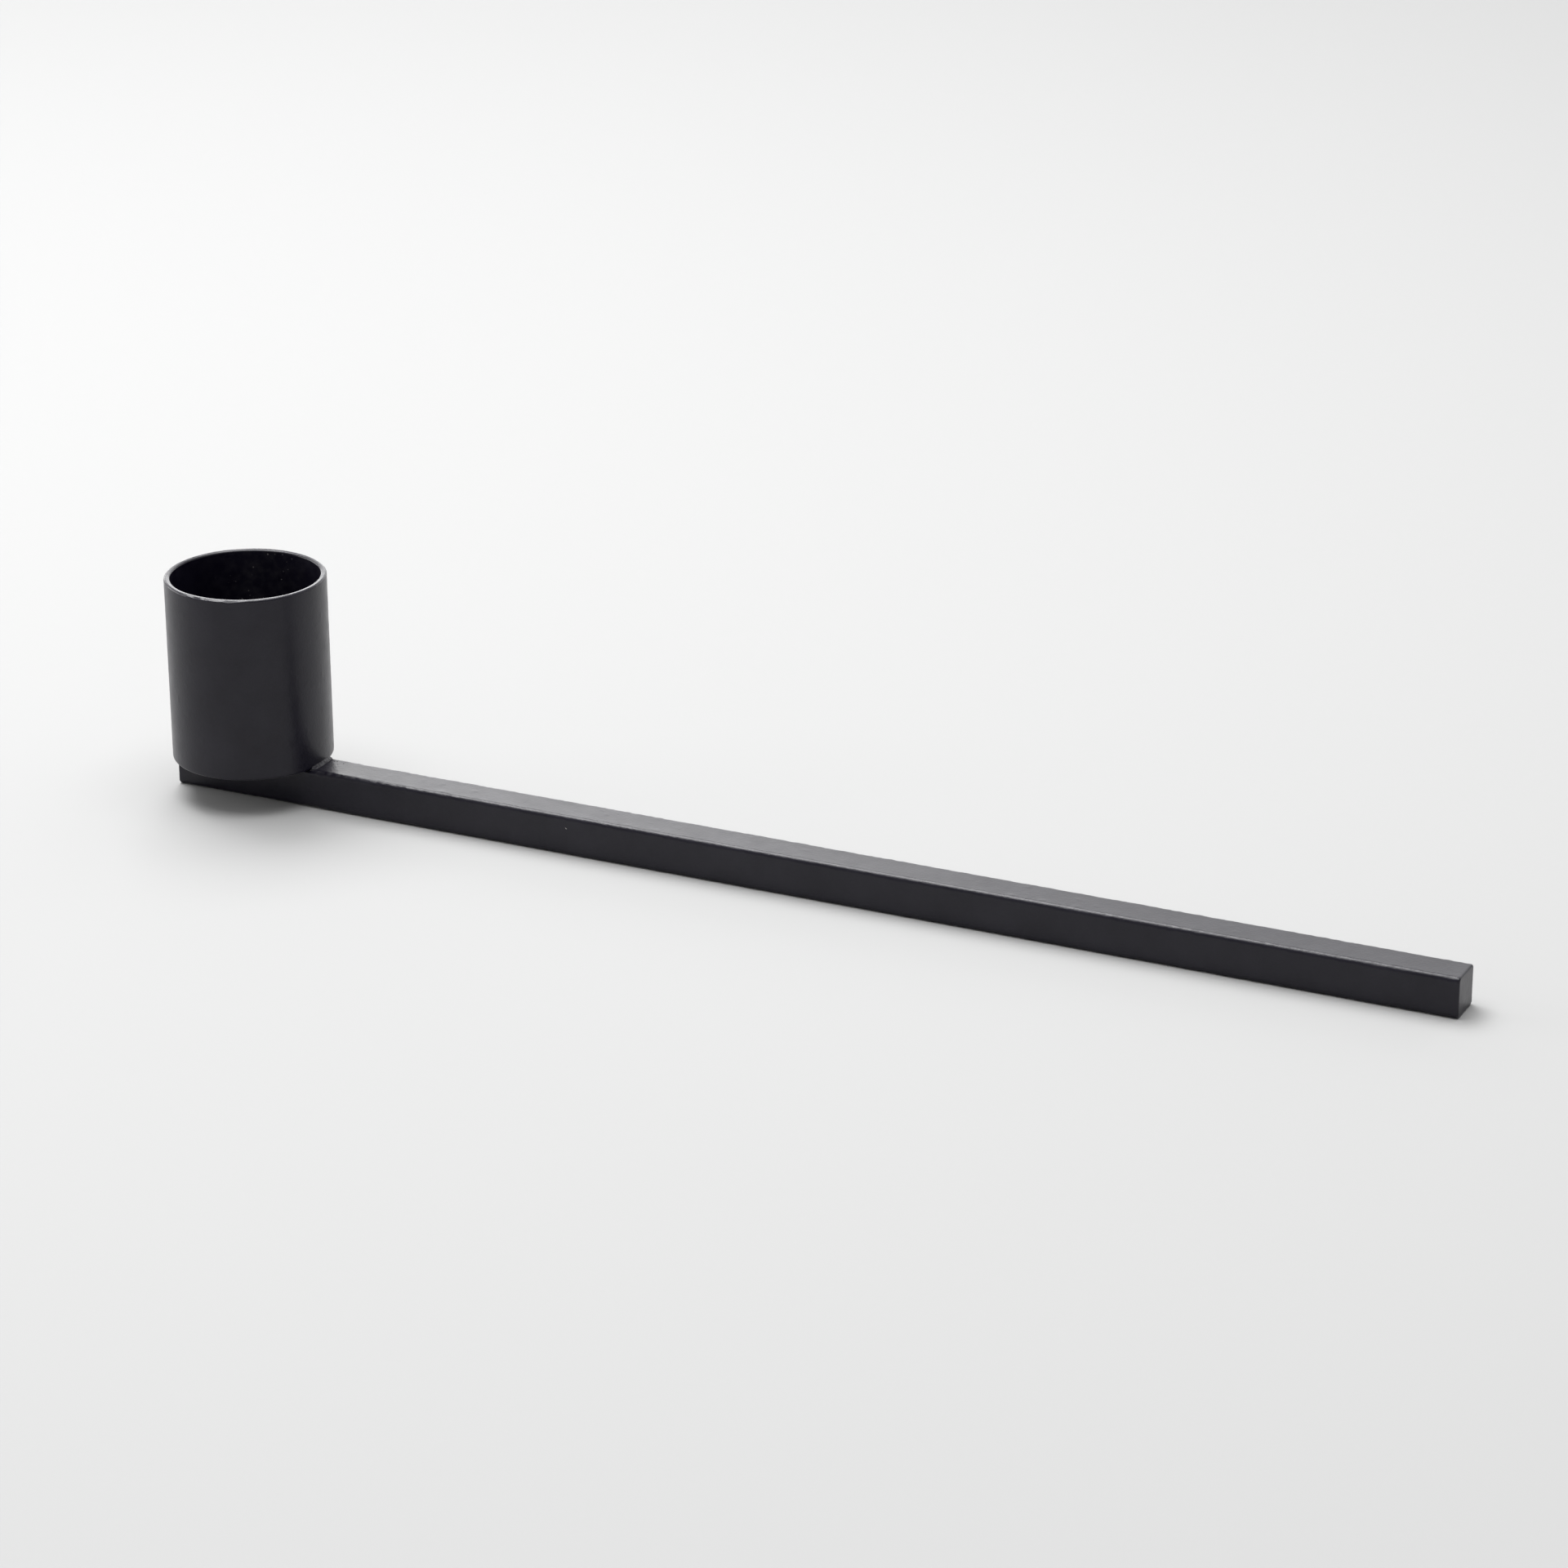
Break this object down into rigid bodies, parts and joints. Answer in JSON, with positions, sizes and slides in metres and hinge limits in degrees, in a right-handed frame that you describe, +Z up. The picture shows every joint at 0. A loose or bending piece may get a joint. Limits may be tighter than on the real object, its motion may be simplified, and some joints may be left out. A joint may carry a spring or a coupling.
{
  "type": "candle snuffer",
  "caption": "Candle snuffer: an open cup of round steel tube, closed at its lower end and welded across the end of a long square bar that is the handle.",
  "frame": {"origin": "on the flat underside of the bar, which is the plane the snuffer rests on, directly under the cup's axis", "axes": "+X along the bar from the cup towards the handle's free end, +Y across the bar, +Z up out of the cup's open mouth"},
  "size_m": [0.2695, 0.032, 0.0455],
  "materials": {
    "powder_coat": "satin black powder coat on steel, with a fine orange peel",
    "weld_coat": "satin black powder coat over a weld bead, rougher than the rest"
  },
  "bodies": {
    "root": {"cup_tube": "powder_coat", "cup_base": "powder_coat", "base_seam_weld": "weld_coat", "handle_bar": "powder_coat", "root_weld": "weld_coat", "side_weld_front": "weld_coat", "side_weld_back": "weld_coat"}
  },
  "joints": []
}
